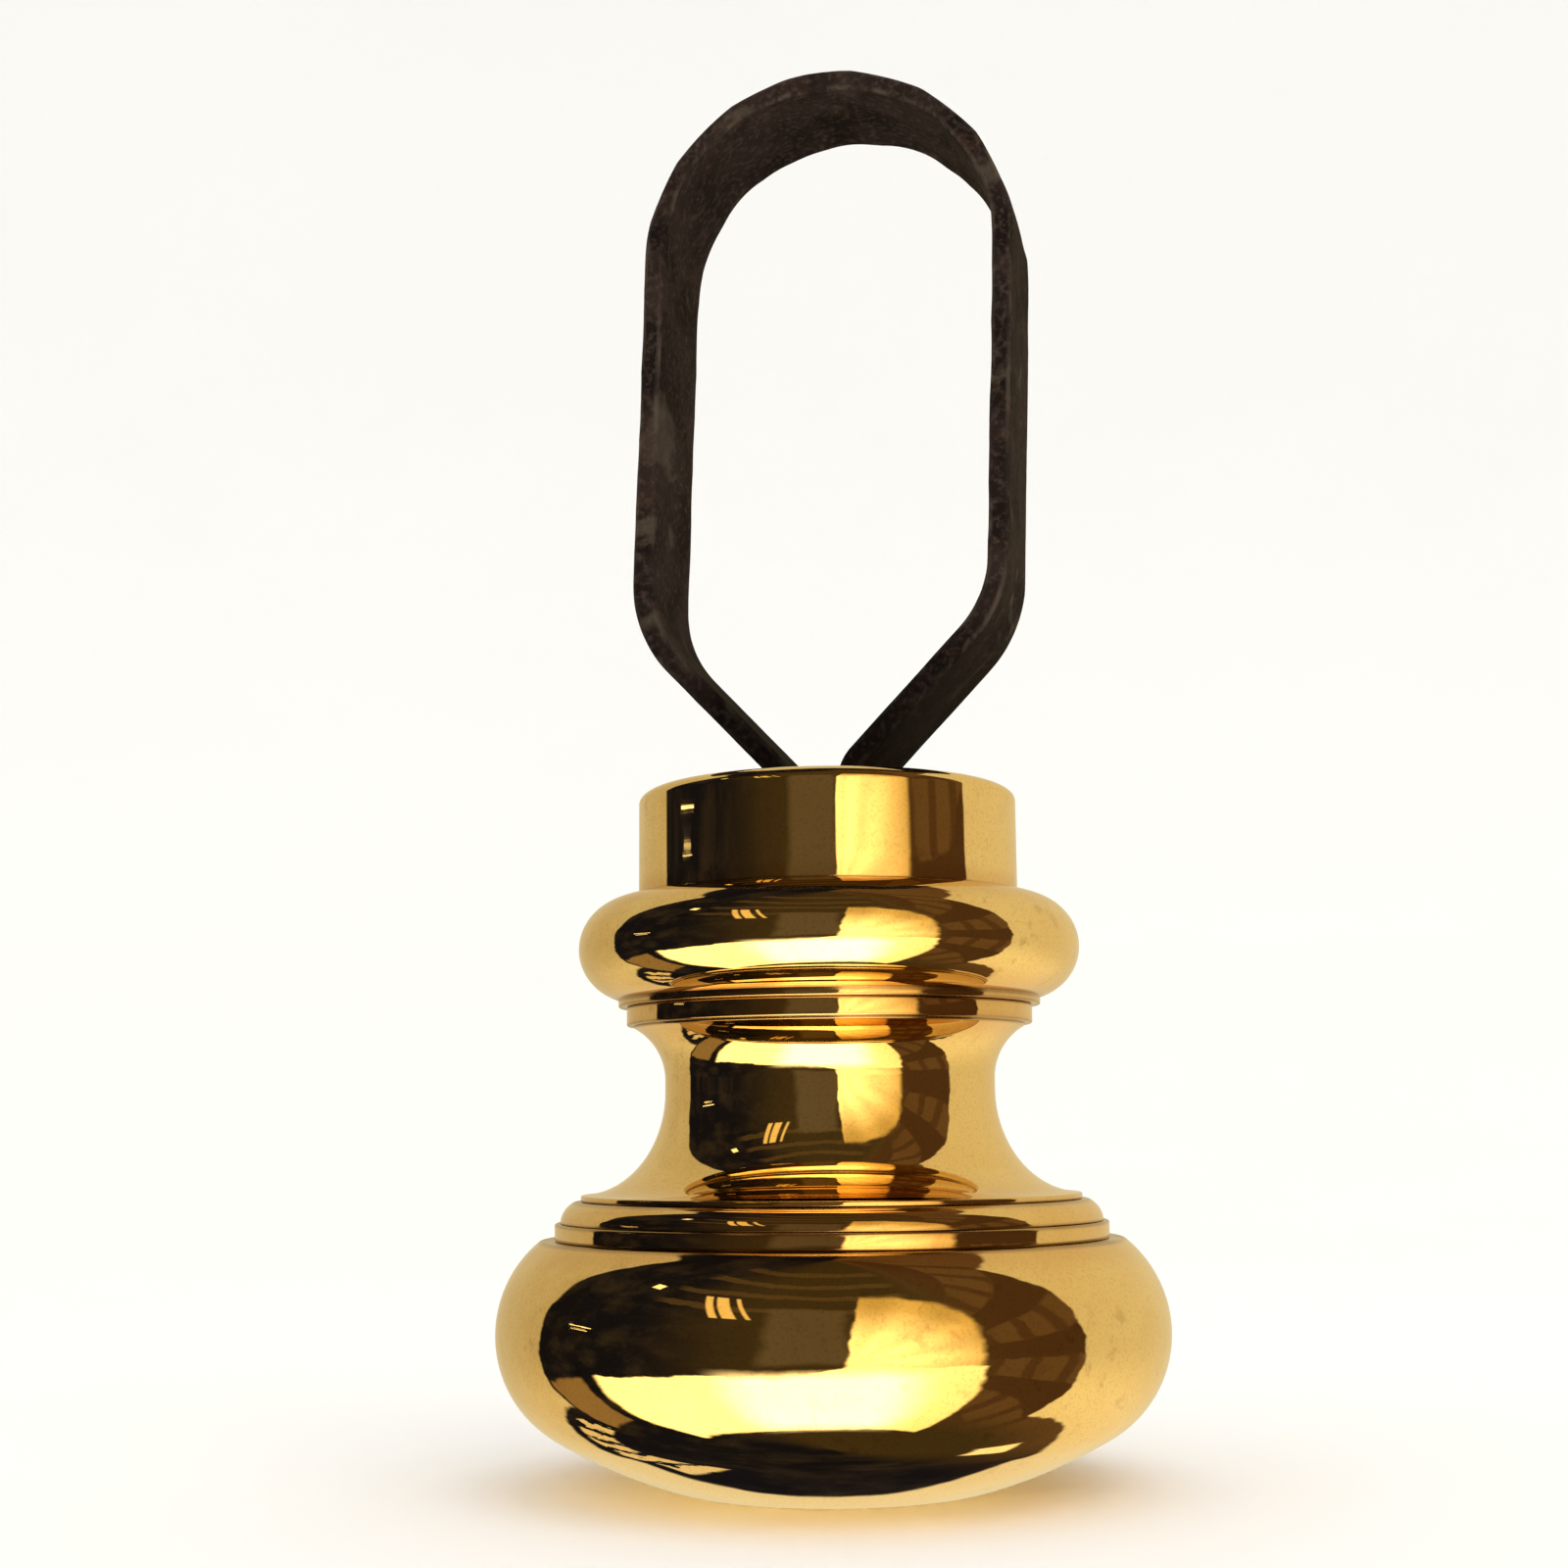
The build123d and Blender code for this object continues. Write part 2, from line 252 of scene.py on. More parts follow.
# ================================================================ turned pieces
def ellipse(center_r, center_z, half_w, half_h, start, end, steps=24):
    """Points on an ellipse from one angle to another, in degrees."""
    points = []
    for i in range(steps + 1):
        a = math.radians(start + (end - start) * i / steps)
        points.append((center_r + half_w * math.cos(a), center_z + half_h * math.sin(a)))
    return points


def eased(points, radius, steps=4):
    """The corner between three points as a small arc of about that radius."""
    before, corner, after = (Vector(p) for p in points)
    to_before = (before - corner).normalized()
    to_after = (after - corner).normalized()
    start = corner + to_before * radius
    end = corner + to_after * radius
    arc = []
    for i in range(steps + 1):
        t = i / steps
        arc.append(tuple(start * (1 - t) ** 2 + corner * 2 * t * (1 - t) + end * t ** 2))
    return arc


def through(a, b, c, steps=20):
    """Points on the circular arc from a through b to c."""
    (ax, ay), (bx, by), (cx, cy) = a, b, c
    d = 2 * (ax * (by - cy) + bx * (cy - ay) + cx * (ay - by))
    ux = ((ax * ax + ay * ay) * (by - cy) + (bx * bx + by * by) * (cy - ay)
          + (cx * cx + cy * cy) * (ay - by)) / d
    uy = ((ax * ax + ay * ay) * (cx - bx) + (bx * bx + by * by) * (ax - cx)
          + (cx * cx + cy * cy) * (bx - ax)) / d
    start = math.degrees(math.atan2(ay - uy, ax - ux))
    end = math.degrees(math.atan2(cy - uy, cx - ux))
    while end - start > 180:
        end -= 360
    while end - start < -180:
        end += 360
    radius = math.hypot(ax - ux, ay - uy)
    return ellipse(ux, uy, radius, radius, start, end, steps)


def lathe(name, section, material):
    """Closed section of (radius, height) in mm, turned about Z into one closed mesh."""
    rings = [section[0]]
    for point in section[1:]:
        if math.dist(point, rings[-1]) > 1e-4:
            rings.append(point)
    bm = bmesh.new()
    grid = []
    for r, z in rings:
        if r == 0:
            grid.append([bm.verts.new((0, 0, z * MM))] * SPIN_STEPS)
            continue
        grid.append([bm.verts.new((r * MM * math.cos(2 * math.pi * k / SPIN_STEPS),
                                   r * MM * math.sin(2 * math.pi * k / SPIN_STEPS), z * MM))
                     for k in range(SPIN_STEPS)])
    for i, ring in enumerate(grid):
        other = grid[(i + 1) % len(grid)]
        for k in range(SPIN_STEPS):
            m = (k + 1) % SPIN_STEPS
            corners = list(dict.fromkeys((ring[k], ring[m], other[m], other[k])))
            if len(corners) > 2:
                bm.faces.new(corners)
    bmesh.ops.recalc_face_normals(bm, faces=bm.faces)
    mesh = bpy.data.meshes.new(name)
    bm.to_mesh(mesh)
    bm.free()
    mesh.materials.append(material)
    mesh.shade_smooth()
    mesh.set_sharp_from_angle(angle=math.radians(40))
    piece = bpy.data.objects.new(name, mesh)
    bpy.context.scene.collection.objects.link(piece)
    return piece


def stand_for(piece, node):
    """The piece takes the place of a CAD node: the node is hidden and the piece is attached to the root
    body.
    """
    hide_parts(node)
    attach(piece, "root")


def bulb_section():
    """Oblate bulb: small flat foot, flatter underside, rounded side, seat for the step."""
    side_r, mid_z, under_z, sag, foot_r = 15.0, 19.6, 7.0, 0.55, 21.5
    center = BULB_R - side_r
    low = math.degrees(math.asin((under_z - mid_z) / side_r))
    high = math.degrees(math.asin((FOOT_TOP - mid_z) / side_r))
    side = ellipse(center, mid_z, side_r, side_r, low, high, 90)
    under = Vector(side[0])
    foot = Vector((foot_r, 0))
    out = Vector((under.y, -(under.x - foot_r))).normalized()
    bow = (foot + under) / 2 + out * sag
    bottom = through(tuple(foot), tuple(bow), tuple(under), 24)
    recess_r, recess_h = 11.5, 10.0
    section = eased([(recess_r, 0), (foot_r, 0), bottom[2]], 0.7)
    section += bottom[3:-1] + side[:-2]
    section += eased([side[-3], side[-1], (BORE_R, FOOT_TOP)], 0.3)
    section += [(30, FOOT_TOP), (BORE_R, FOOT_TOP), (BORE_R, recess_h), (recess_r, recess_h)]
    section += eased([(recess_r, recess_h), (recess_r, 0), (foot_r, 0)], 0.4)
    return section


def band_section(radius, low, high, ease):
    """Plain square fillet with eased outer edges."""
    section = eased([(BORE_R, low), (radius, low), (radius, high)], ease)
    section += eased([(radius, low), (radius, high), (BORE_R, high)], ease)
    section += [(radius - 3, high), (BORE_R, high), (BORE_R, low), (radius - 3, low)]
    return section


def bead_section():
    """Bead with a bulging side that narrows to the neck."""
    top_r, drop = 34.0, 0.4
    arc = through((BEAD_R, BEAD_Z), (BEAD_R - drop, (BEAD_Z + NECK_Z) / 2), (top_r, NECK_Z), 14)
    section = eased([(BORE_R, BEAD_Z), arc[0], arc[2]], 0.25) + arc[3:-3]
    section += eased([arc[-3], arc[-1], (BORE_R, NECK_Z)], 0.25)
    section += [(31, NECK_Z), (BORE_R, NECK_Z), (BORE_R, BEAD_Z), (31, BEAD_Z)]
    return section


def neck_section():
    """Scotia from the thin lip in to the waist and out to the top."""
    waist_r, waist_z, top_r, lip_h, cove_r, edge = 22.05, 50.7, 26.2, 0.8, 8.0, 0.25
    lower = ellipse(LIP_R, waist_z, LIP_R - waist_r, waist_z - NECK_Z - lip_h, 270, 180, 80)
    turn = math.degrees(math.acos((cove_r + waist_r - top_r) / cove_r))
    cove_z = FILLET_Z - edge - cove_r * math.sin(math.radians(turn))
    upper = ellipse(waist_r + cove_r, cove_z, cove_r, cove_r, 180, 180 - turn, 44)
    section = eased([(BORE_R, NECK_Z), (LIP_R, NECK_Z), (LIP_R, NECK_Z + lip_h)], 0.25)
    section += eased([(LIP_R, NECK_Z), lower[0], lower[2]], 0.25)
    section += lower[3:] + upper[:-2]
    section += eased([upper[-3], upper[-1], (top_r, FILLET_Z)], 0.08)
    section += [(top_r, FILLET_Z), (BORE_R, FILLET_Z), (BORE_R, NECK_Z), (30, NECK_Z)]
    return section


def torus_section():
    """Half-round moulding above a small square step, with the anchor's cavity inside."""
    center_r, center_z, step_r, step_h, floor_z = 26.25, 69.65, 28.3, 0.8, 65.6
    half_w, half_h = TORUS_R - center_r, COLLAR_Z - center_z
    meet = math.degrees(math.acos((step_r - center_r) / half_w))
    curve = ellipse(center_r, center_z, half_w, half_h, -meet, 90, 110)
    section = eased([(BORE_R, TORUS_Z), (step_r, TORUS_Z), (step_r, TORUS_Z + step_h)], 0.2)
    section += [(step_r, TORUS_Z + step_h - 0.1)] + curve
    section += [(24, COLLAR_Z), (CAVITY_R, COLLAR_Z), (CAVITY_R, floor_z), (BORE_R, floor_z)]
    section += [(BORE_R, TORUS_Z), (24, TORUS_Z)]
    return section


def collar_section():
    """Round collar with a rounded rim and a flat top plate over the cavity."""
    rim_a, rim_b, plate = 3.3, 1.85, 6.0
    rim = ellipse(COLLAR_R - rim_a, TOP_Z - rim_b, rim_a, rim_b, 0, 90, 26)
    section = eased([(CAVITY_R, COLLAR_Z), (COLLAR_R, COLLAR_Z), (COLLAR_R, TOP_Z - rim_b)], 0.25)
    section += [(COLLAR_R, COLLAR_Z + 4), (COLLAR_R, TOP_Z - rim_b - 3)] + rim
    section += [(18, TOP_Z), (14, TOP_Z), (0, TOP_Z), (0, TOP_Z - plate)]
    section += [(CAVITY_R, TOP_Z - plate), (CAVITY_R, COLLAR_Z), (24, COLLAR_Z)]
    return section


def cut_slots(collar):
    """Two slots through the collar's top plate for the tangs of the handle."""
    gap, cutter_h, cutter_z = 0.15, 12.0, TOP_Z - 3
    half_x, half_y, middle = (BAR_T / 2 + gap) * MM, (BAR_W / 2 + gap) * MM, TANG_X * MM
    bm = bmesh.new()
    for side in (-1, 1):
        made = bmesh.ops.create_cube(bm, size=1.0)
        spread = Matrix.Diagonal((2 * half_x, 2 * half_y, cutter_h * MM, 1))
        move = Matrix.Translation((side * middle, 0, cutter_z * MM))
        bmesh.ops.transform(bm, matrix=move @ spread, verts=made["verts"])
    mesh = bpy.data.meshes.new("slot_cutter")
    bm.to_mesh(mesh)
    bm.free()
    cutter = bpy.data.objects.new("slot_cutter", mesh)
    bpy.context.scene.collection.objects.link(cutter)
    cut = collar.modifiers.new("slots", "BOOLEAN")
    cut.operation = "DIFFERENCE"
    cut.solver = "EXACT"
    cut.object = cutter
    bpy.context.view_layer.update()
    evaluated = collar.evaluated_get(bpy.context.evaluated_depsgraph_get())
    done = bpy.data.meshes.new_from_object(evaluated)
    collar.modifiers.clear()
    collar.data = done
    bpy.data.objects.remove(cutter)


# ================================================================ the forged loop
BAR_W, BAR_T = 20.0, 3.0           # flat bar, width along Y
LOOP_HALF = 24.4                   # half width of the loop, to the middle of the bar
TANG_X = 4.8                       # half spacing of the two tangs
TANG_END_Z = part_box("handle_strap")[0].z / MM
LEG_Z = TOP_Z + 2.0                # where the legs leave the vertical
BEND_Z = {-1: 112.2, 1: 115.4}     # corners of the left leg and the right leg
ARCH_Z = 165.4                     # centre of the round arch
LEG_BEND_R, SIDE_BEND_R = 5.0, 16.0
LEAN_DEG = 2.05                    # the loop leans a little to +X
ROW_STEP = 0.8                     # spacing of the mesh rows along the bar

# depth of the hammer's dents in mm on the uprights, and what the arch and slant change
DENT_UPRIGHT, DENT_MORE_ON_ARCH, DENT_LESS_ON_SLANT = 0.15, 0.21, 0.09
DENT_REACH = 0.62                  # radius of a dent, in cells of the pattern
DENT_BLEND = 6.0                   # half length of the change from one depth to the next
WAVE_DEPTH, GRIT_DEPTH = 0.05, 0.02
EDGE_WAVE, EDGE_NICK = 0.22, 0.09  # long and short wavering of the edges
EDGE_LOSS = 0.22                   # how much narrower the worn bar is, each side


def leaned(x, z):
    """Point of the loop after it leans towards +X about the foot of its legs."""
    angle = math.radians(LEAN_DEG)
    dz = z - LEG_Z
    return Vector((x * math.cos(angle) + dz * math.sin(angle),
                   LEG_Z + dz * math.cos(angle) - x * math.sin(angle)))


def rounded_route(corners, radii):
    """Points along a polyline whose inner corners are arcs of the given radii."""
    route = [corners[0]]
    for i, radius in enumerate(radii, start=1):
        a, b, c = corners[i - 1], corners[i], corners[i + 1]
        turn = (b - a).angle(c - b)
        reach = radius * math.tan(turn / 2)
        start = b - (b - a).normalized() * reach
        end = b + (c - b).normalized() * reach
        inward = ((start + end) / 2 - b).normalized()
        middle = b + inward * (radius / math.cos(turn / 2) - radius)
        route += [Vector(p) for p in through(tuple(start), tuple(middle), tuple(end), 14)]
    route.append(corners[-1])
    return route


def evenly(route, step):
    """The route again with points evenly spaced along it."""
    lengths = [0.0]
    for a, b in zip(route[:-1], route[1:]):
        lengths.append(lengths[-1] + (b - a).length)
    count = max(2, round(lengths[-1] / step))
    points, k = [], 0
    for i in range(count + 1):
        s = lengths[-1] * i / count
        while k < len(lengths) - 2 and lengths[k + 1] < s:
            k += 1
        span = max(lengths[k + 1] - lengths[k], 1e-9)
        points.append(route[k].lerp(route[k + 1], (s - lengths[k]) / span))
    return points


def loop_route():
    """Middle line of the bar in the XZ plane, from the left tang to the right one."""
    legs = {}
    for side in (-1, 1):
        corners = [Vector((side * TANG_X, TANG_END_Z)), Vector((side * TANG_X, LEG_Z)),
                   leaned(side * LOOP_HALF, BEND_Z[side]), leaned(side * LOOP_HALF, ARCH_Z)]
        legs[side] = rounded_route(corners, [LEG_BEND_R, SIDE_BEND_R])
    arch = [leaned(r, z) for r, z in ellipse(0, ARCH_Z, LOOP_HALF, LOOP_HALF, 180, 0, 60)]
    return evenly(legs[-1] + arch[1:-1] + legs[1][::-1], ROW_STEP)


def bar_section():
    """Outline of the flat bar, (across thickness, along width, how much rubbed), round corners."""
    corner, side_steps = 0.75, 18
    half_t, half_w = BAR_T / 2, BAR_W / 2
    rubbed = (0.0, 0.55, 1.0, 1.0, 0.55, 0.0)
    outline = []
    for sx, sy, start in ((1, 1, 0), (-1, 1, 90), (-1, -1, 180), (1, -1, 270)):
        arc = ellipse(sx * (half_t - corner), sy * (half_w - corner), corner, corner,
                      start, start + 90, 5)
        outline += [(*point, rub) for point, rub in zip(arc, rubbed)]
        if start in (90, 270):
            x, y = arc[-1]
            far = -sy * (half_w - corner)
            outline += [(x, y + (far - y) * k / side_steps, 0.0) for k in range(1, side_steps)]
    return outline


def hammer(s, y, side, force):
    """Depth in mm of the hammered surface: shallow dents with ridges between them."""
    place = Vector((s / 9.0, y / 11.0 + side * 9.0, side * 3.7))
    to_center = noise.voronoi(place, distance_metric="DISTANCE")[0][0]
    dent = force * max(0.0, 1 - (to_center / DENT_REACH) ** 2)
    wave = WAVE_DEPTH * (1 + noise.noise(Vector((s / 21.0, y / 26.0, side * 5.0))))
    grit = GRIT_DEPTH * (1 + noise.noise(Vector((s / 1.9, y / 1.9, side * 2.0))))
    return dent + wave + grit


def share(value, start, end):
    """How far a value is from start to end, held between 0 and 1."""
    return max(0.0, min(1.0, (value - start) / (end - start)))


def forged_loop(material):
    """The bar swept along the loop as rows of points, dented and with wavering edges."""
    route = loop_route()
    outline = bar_section()
    bm = bmesh.new()
    worn = bm.verts.layers.float.new("worn")
    rows = []
    top_limit = CAD_HI.z / MM
    length = 0.0
    for i, p in enumerate(route):
        ahead = route[min(i + 1, len(route) - 1)] - route[max(i - 1, 0)]
        along = ahead.normalized()
        outward = Vector((-along.y, along.x))
        if i:
            length += (p - route[i - 1]).length
        edge_wave = EDGE_WAVE * noise.noise(Vector((length / 13.0, 3.1, 0.0)))
        edge_wave += EDGE_NICK * noise.noise(Vector((length / 4.0, 7.7, 0.0)))
        on_arch = share(p.y, ARCH_Z - DENT_BLEND, ARCH_Z + DENT_BLEND)
        on_slant = share(p.y, BEND_Z[1] + DENT_BLEND, BEND_Z[1] - DENT_BLEND)
        force = DENT_UPRIGHT + DENT_MORE_ON_ARCH * on_arch - DENT_LESS_ON_SLANT * on_slant
        row = []
        for x, y, rubbed in outline:
            side = 1 if x > 0 else -1
            t = x - side * hammer(length, y, side, force) * abs(x) / (BAR_T / 2)
            w = y * (1 + (edge_wave - EDGE_LOSS) / (BAR_W / 2))
            place = p + outward * t
            height = min(place.y, top_limit)
            vert = bm.verts.new((place.x * MM, w * MM, height * MM))
            rub = rubbed * (0.6 + 0.8 * noise.noise(Vector((length / 6.0, y, side * 4.0))))
            vert[worn] = max(0.0, min(1.0, rub))
            row.append(vert)
        rows.append(row)
    count = len(outline)
    for a, b in zip(rows[:-1], rows[1:]):
        for k in range(count):
            m = (k + 1) % count
            bm.faces.new((a[k], a[m], b[m], b[k]))
    bm.faces.new(rows[0])
    bm.faces.new(rows[-1])
    bmesh.ops.recalc_face_normals(bm, faces=bm.faces)
    mesh = bpy.data.meshes.new("forged_loop")
    bm.to_mesh(mesh)
    bm.free()
    mesh.materials.append(material)
    mesh.shade_smooth()
    mesh.set_sharp_from_angle(angle=math.radians(50))
    piece = bpy.data.objects.new("forged_loop", mesh)
    bpy.context.scene.collection.objects.link(piece)
    return piece


# ================================================================ the object
SECTIONS = {
    "foot_bulb": (bulb_section(), (FOOT_TOP,)),
    "step_ring": (band_section(STEP_R, FOOT_TOP, BEAD_Z, 0.3), (FOOT_TOP, BEAD_Z)),
    "bead_ring": (bead_section(), (BEAD_Z, NECK_Z)),
    "neck_scotia": (neck_section(), (NECK_Z, FILLET_Z)),
    "fillet_ring": (band_section(FILLET_R, FILLET_Z, TORUS_Z, 0.3), (FILLET_Z, TORUS_Z)),
    "torus_ring": (torus_section(), (TORUS_Z, TORUS_Z + 0.9, COLLAR_Z)),
    "collar_cap": (collar_section(), (COLLAR_Z,)),
}

for node, (section, seams) in SECTIONS.items():
    piece = lathe(node + "_turned", section, brass("brass_" + node, seams))
    if node == "collar_cap":
        cut_slots(piece)
    stand_for(piece, node)

stand_for(forged_loop(forged_iron()), "handle_strap")

steel = machined_steel()
for node in ("anchor_block", "anchor_rivet", "tie_rod", "base_washer", "base_nut"):
    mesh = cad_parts[node].data
    mesh.materials.clear()
    mesh.materials.append(steel)


# ================================================================ camera
VIEW_AZIMUTH = math.radians(12.78)    # the loop's right leg is the nearer one
CAM_DISTANCE = 0.30585
CAM_HEIGHT = 0.0459
CAM_SIDE = -0.00584
CAM_PITCH = math.radians(8.635)
CAM_ROLL = math.radians(-0.453)


def make_camera():
    """Close, low camera that looks a little upwards at the loop."""
    turn = Matrix.Rotation(VIEW_AZIMUTH, 4, "Z")
    data = bpy.data.cameras.new("camera")
    data.lens = 51.9
    data.sensor_width = 36.0
    data.clip_start = 0.01
    data.clip_end = 50.0
    cam = bpy.data.objects.new("camera", data)
    bpy.context.scene.collection.objects.link(cam)
    tilt = Matrix.Rotation(math.radians(90) + CAM_PITCH, 4, "X")
    roll = Matrix.Rotation(CAM_ROLL, 4, "Z")
    place = Matrix.Translation((CAM_SIDE, -CAM_DISTANCE, CAM_HEIGHT))
    cam.matrix_world = turn @ place @ tilt @ roll
    bpy.context.scene.camera = cam


# ================================================================ stage
def pale_surface(name, colour):
    """Matt, faintly uneven paper."""
    mat, n = new_material(name)
    place = n.add("ShaderNodeTexCoord").outputs["Object"]
    tone = n.remap(n.noise(place, 3.0, 3, 0.5), 0.3, 0.7)
    shade = n.mix(tone, colour, tuple(c * 0.985 for c in colour))
    shader = n.add("ShaderNodeBsdfPrincipled", {"Base Color": shade, "Roughness": 0.9})
    finish_material(n, shader.outputs[0])
    return mat


def make_floor():
    """Pale floor that curves up into a pale wall all round, so no horizon shows."""
    flat_r, curve_r, wall_h, steps, curve_steps = 0.6, 1.9, 2.2, 96, 24
    profile = [(0.0001, 0.0), (0.3, 0.0), (flat_r, 0.0)]
    for i in range(1, curve_steps + 1):
        rise = math.radians(90 * i / curve_steps)
        profile.append((flat_r + curve_r * math.sin(rise), curve_r * (1 - math.cos(rise))))
    profile.append((flat_r + curve_r, wall_h))
    bm = bmesh.new()
    angles = [2 * math.pi * k / steps for k in range(steps)]
    rows = [[bm.verts.new((r * math.cos(a), r * math.sin(a), z)) for a in angles]
            for r, z in profile]
    for a, b in zip(rows[:-1], rows[1:]):
        for k in range(steps):
            m = (k + 1) % steps
            bm.faces.new((a[k], a[m], b[m], b[k]))
    mesh = bpy.data.meshes.new("floor")
    bm.to_mesh(mesh)
    bm.free()
    mesh.shade_smooth()
    mesh.materials.append(pale_surface("pale_paper", (0.92, 0.917, 0.905)))
    floor = bpy.data.objects.new("floor", mesh)
    bpy.context.scene.collection.objects.link(floor)
    floor.visible_glossy = False


def make_painted_reflection_room():
    """Painted reflection for the polished brass: a glowing sphere seen only in reflections, painted as
    a dark room, a lit wall, a bright table and a pale sheet.
    """
    mesh = bpy.data.meshes.new("painted_reflection_room")
    bm = bmesh.new()
    bmesh.ops.create_uvsphere(bm, u_segments=64, v_segments=32, radius=1.4)
    bm.to_mesh(mesh)
    bm.free()
    mesh.shade_smooth()
    room = bpy.data.objects.new("painted_reflection_room", mesh)
    bpy.context.scene.collection.objects.link(room)
    room.location = (0, 0, 0.06)
    room.rotation_euler = (0, 0, VIEW_AZIMUTH)
    # seen only by glossy rays, so it paints reflections on the brass and lights nothing
    for flag in ("camera", "diffuse", "shadow", "transmission", "volume_scatter"):
        setattr(room, "visible_" + flag, False)
    mesh.materials.append(painted_reflection_material())


# painted reflections of papers in the dark side: place along a slanting scale, half width
REFLECTED_PAPERS = ((-28, 1.6), (-22, 2.6), (-15, 0.9))
# painted lamp glints: turn, lift, half width, half height, radiance
LAMP_GLINTS = ((-93, 9.3, 5.5, 0.14, 4.5), (-93, 7.9, 3, 0.06, 2.6),
         (-93, 7.25, 4, 0.10, 3.6), (-80, 45, 2.5, 1.6, 2.0))
# warm tint of the whole painted reflection
REFLECTION_TINT = (0.957, 0.821, 0.531)     # tint of the whole room


def painted_reflection_material():
    """Painted reflection radiance by direction in degrees: turn from the camera's side, lift above the
    horizon.
    """
    mat, n = new_material("painted_reflection_room")
    place = n.add("ShaderNodeTexCoord").outputs["Object"]
    direction = n.add("ShaderNodeVectorMath", {0: place}, operation="NORMALIZE").outputs[0]
    xyz = n.add("ShaderNodeSeparateXYZ", {0: direction})
    wobble = n.math("SUBTRACT", n.noise(direction, 2.6, 3, 0.55), 0.5)
    ripple = n.math("SUBTRACT", n.noise(direction, 14.0, 3, 0.6), 0.5)
    to_degrees = 180 / math.pi
    turn = n.math("ARCTAN2", xyz.outputs[0], n.math("MULTIPLY", xyz.outputs[1], -1.0))
    turn = n.math("MULTIPLY", turn, to_degrees)
    lift = n.math("MULTIPLY", n.math("ARCSINE", xyz.outputs[2]), to_degrees)
    bent = n.math("ADD", n.math("MULTIPLY", wobble, 9.0), n.math("MULTIPLY", ripple, 1.6))
    turn_w = n.math("ADD", turn, bent)
    lift_w = n.math("ADD", lift, bent)

    def inside(turn_range, lift_range, soft, at_turn=turn_w, at_lift=lift_w):
        across = n.between(at_turn, *turn_range, soft)
        return n.math("MULTIPLY", across, n.between(at_lift, *lift_range, soft))

    def patch(base, colour, turn_range, lift_range, soft=2.0, strength=1.0):
        return n.mix(n.math("MULTIPLY", inside(turn_range, lift_range, soft), strength), base, colour)

    # painted reflection of a dark room: black on one side, brown wood on the other
    murk = n.remap(n.noise(direction, 4.5, 6, 0.62), 0.42, 0.72, 0, 1, True)
    shade = n.mix(murk, (0.009, 0.010, 0.026), (0.036, 0.032, 0.042))
    ahead = n.remap(n.math("ABSOLUTE", turn), 125, 168, 1, 0, True)
    warm = n.math("MULTIPLY", n.remap(turn_w, -75, -18, 0, 1, True), ahead)
    shade = n.mix(warm, shade, (0.062, 0.048, 0.030))
    from_foot_x = n.math("SUBTRACT", turn_w, 4.0)
    from_foot_y = n.math("ADD", lift_w, 8.0)
    far = n.math("ADD", n.math("POWER", from_foot_x, 2.0), n.math("POWER", from_foot_y, 2.0))
    far = n.math("SQRT", far)
    spoke = n.math("ARCTAN2", from_foot_y, n.math("MAXIMUM", from_foot_x, 0.01))
    wooden = n.remap(turn_w, 25, 60, 0, 1, True)
    wooden = n.math("MULTIPLY", wooden, n.remap(lift_w, -66, -44, 0, 1, True))
    wooden = n.math("MULTIPLY", wooden, ahead)
    shade = n.mix(wooden, shade, (0.150, 0.095, 0.060))
    planks = n.remap(n.math("SINE", n.math("MULTIPLY", spoke, 14.0)), -0.15, 0.15, 0, 1, True)
    rails = n.remap(n.math("SINE", n.math("MULTIPLY", far, 0.42)), 0.15, 0.8, 0, 0.8, True)
    boards = n.math("MULTIPLY", n.between(turn, 40, 90, 2), n.math("MAXIMUM", planks, rails))
    boards = n.math("MULTIPLY", boards, wooden)
    shade = n.mix(n.math("MULTIPLY", boards, 0.62), shade, (0.045, 0.020, 0.012))
    rafters = n.remap(n.math("SINE", n.math("MULTIPLY", lift_w, 0.55)), 0.3, 0.7, 0, 1, True)
    rafters = n.math("MULTIPLY", inside((-70, 30), (30, 74), 4), n.math("MULTIPLY", rafters, 0.5))
    shade = n.mix(rafters, shade, (0.16, 0.115, 0.07))

    # painted reflection of a cabinet, then a painted glow of the lit wall with folds fanning out from
    # its foot
    shade = patch(shade, (0.140, 0.120, 0.108), (-24, 4), (-9, 38), 2.5)
    folds = n.remap(n.math("SINE", n.math("MULTIPLY", spoke, 13.0)), -1, 1, 0.84, 1.06)
    glow = n.mix(n.remap(far, 10, 54, 0, 1, True), (2.7, 2.45, 1.95), (0.90, 0.69, 0.32))
    glow = n.mix(1.0, glow, folds, "MULTIPLY")
    lean = n.math("SUBTRACT", turn_w, n.math("MULTIPLY", lift_w, 0.14))
    wall = n.math("MULTIPLY", n.between(lean, 3.5, 400, 0.8), n.remap(far, 60, 55, 0, 1, True))
    wall = n.math("MULTIPLY", wall, n.between(lift_w, -14, 66, 1.5))
    wall = n.math("MULTIPLY", wall, n.remap(turn_w, 50, 46, 0, 1, True))
    shade = n.mix(wall, shade, glow)

    # painted reflections of papers and painted lamp glints in the dark side
    skew = n.math("ADD", turn, n.math("MULTIPLY", lift, 0.55))
    for at_skew, wide in REFLECTED_PAPERS:
        bar = inside((at_skew - wide, at_skew + wide), (28, 45), 0.5, skew, lift)
        shade = n.mix(bar, shade, (1.15, 0.92, 0.52))
    for at_turn, at_lift, wide, tall, power in LAMP_GLINTS:
        across, down = (at_turn - wide, at_turn + wide), (at_lift - tall, at_lift + tall)
        lamp = inside(across, down, 0.1, turn, lift)
        shade = n.mix(lamp, shade, (power, power * 0.96, power * 0.86))
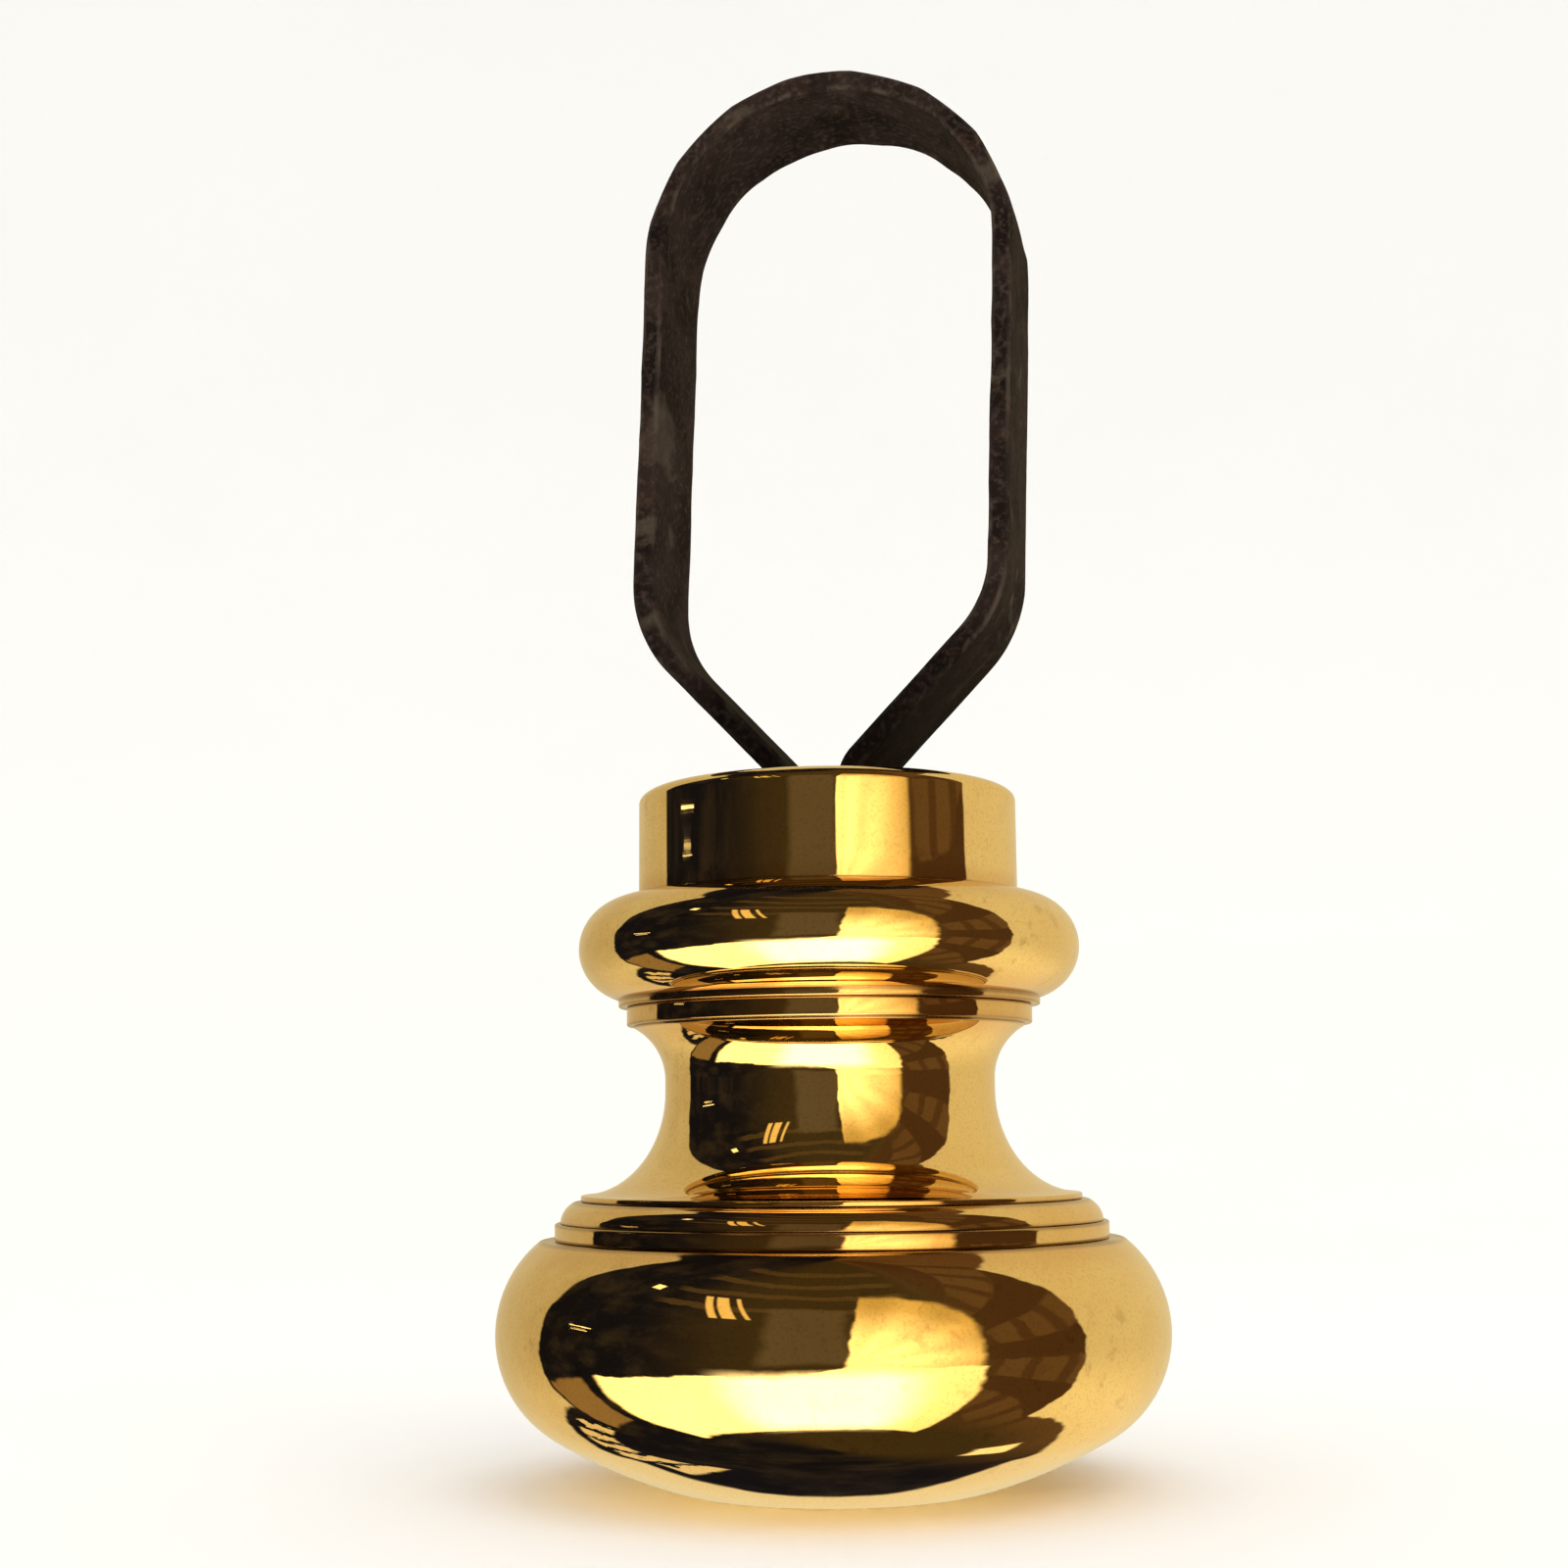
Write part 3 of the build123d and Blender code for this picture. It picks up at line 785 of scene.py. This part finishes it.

    # painted reflection of a bright table, with a painted highlight brightest in the middle, a brown
    # box on its left and a paper on its right
    table = n.mix(n.remap(turn_w, 10, 50, 0, 1, True), (2.8, 2.65, 2.15), (1.9, 1.75, 1.35))
    edge = n.remap(turn_w, -20, 6, -20, -12, True)
    on_table = n.remap(lift_w, -67, -65, 0, 1, True)
    on_table = n.math("MULTIPLY", n.between(turn_w, -88, 50, 1.5), on_table)
    before_edge = n.remap(n.math("SUBTRACT", edge, lift_w), -0.8, 0.8, 0, 1, True)
    on_table = n.math("MULTIPLY", on_table, before_edge)
    shade = n.mix(on_table, shade, table)
    core = n.math("MULTIPLY", n.between(turn_w, -36, 26, 12), n.between(lift_w, -64, -18, 6))
    shade = n.mix(core, shade, (4.8, 4.8, 5.4))
    shade = patch(shade, (0.42, 0.30, 0.17), (-112, -94), (-46, -20), 1.0, 0.8)
    shade = patch(shade, (1.6, 1.55, 1.4), (126, 140), (-62, -54), 0.8)

    # painted reflection of a pale sheet behind and around, with a row of cards under its hem
    away = n.math("SUBTRACT", 1.0, n.between(turn_w, -114, 88, 0.8))
    hem = n.math("SUBTRACT", -40.0, n.math("MULTIPLY", xyz.outputs[0], 9.0))
    below = n.math("SUBTRACT", lift_w, hem)
    sheet = n.math("MULTIPLY", away, n.remap(below, -0.8, 0.8, 0, 1, True))
    sheet = n.math("MULTIPLY", sheet, n.remap(lift_w, 59, 57, 0, 1, True))
    uneven = n.math("ADD", turn, n.math("MULTIPLY", ripple, 16.0))
    cards = n.remap(n.math("SINE", n.math("MULTIPLY", uneven, 0.60)), -0.35, -0.15, 0, 1, True)
    row = n.math("MULTIPLY", n.between(turn, -166, -117, 0.5), n.between(below, -12, -3.5, 0.5))
    cards = n.math("MULTIPLY", cards, row)
    shade = n.mix(cards, shade, (0.95, 0.86, 0.70))
    cloudy = n.remap(n.noise(direction, 5.0, 5, 0.6), 0.3, 0.7)
    paper = n.mix(cloudy, (0.66, 0.65, 0.60), (0.60, 0.58, 0.52))
    side = n.remap(xyz.outputs[0], -1.0, 0.9, 0, 1, True)
    paper = n.mix(side, paper, (0.84, 0.82, 0.75))
    lower = n.remap(lift, -4, -32, 1.0, 1.32, True)
    paper = n.mix(1.0, paper, lower, "MULTIPLY")
    shade = n.mix(sheet, shade, paper)
    shade = n.mix(1.0, shade, REFLECTION_TINT, "MULTIPLY")
    emit = n.add("ShaderNodeEmission", {"Color": shade, "Strength": 1.0})
    finish_material(n, emit.outputs[0])
    return mat


def soft_light(name, turn, lift, distance, size, power):
    """Area lamp aimed at the object, seen by neither the camera nor the brass."""
    data = bpy.data.lights.new(name, "AREA")
    data.shape = "RECTANGLE"
    data.size, data.size_y = size
    data.energy = power
    lamp = bpy.data.objects.new(name, data)
    bpy.context.scene.collection.objects.link(lamp)
    a, e = math.radians(turn) + VIEW_AZIMUTH, math.radians(lift)
    back = Vector((math.sin(a) * math.cos(e), -math.cos(a) * math.cos(e), math.sin(e)))
    target = Vector((0, 0, 0.09))
    lamp.location = target + back * distance
    lamp.rotation_euler = back.to_track_quat("Z", "Y").to_euler()
    lamp.visible_camera = False
    lamp.visible_glossy = False


def make_light():
    """Even warm-white sky and three soft lamps."""
    world = bpy.data.worlds.new("world")
    bpy.context.scene.world = world
    world.use_nodes = True
    background = world.node_tree.nodes["Background"]
    background.inputs["Color"].default_value = (1.0, 0.99, 0.97, 1)
    background.inputs["Strength"].default_value = 1.12
    soft_light("key", turn=40, lift=48, distance=1.3, size=(0.9, 0.9), power=2.6)
    soft_light("fill", turn=-60, lift=25, distance=1.3, size=(0.8, 0.8), power=1.0)
    soft_light("top", turn=170, lift=70, distance=1.5, size=(1.2, 1.2), power=1.5)


make_camera()
make_floor()
make_painted_reflection_room()
make_light()
bpy.context.scene.view_settings.view_transform = "Standard"
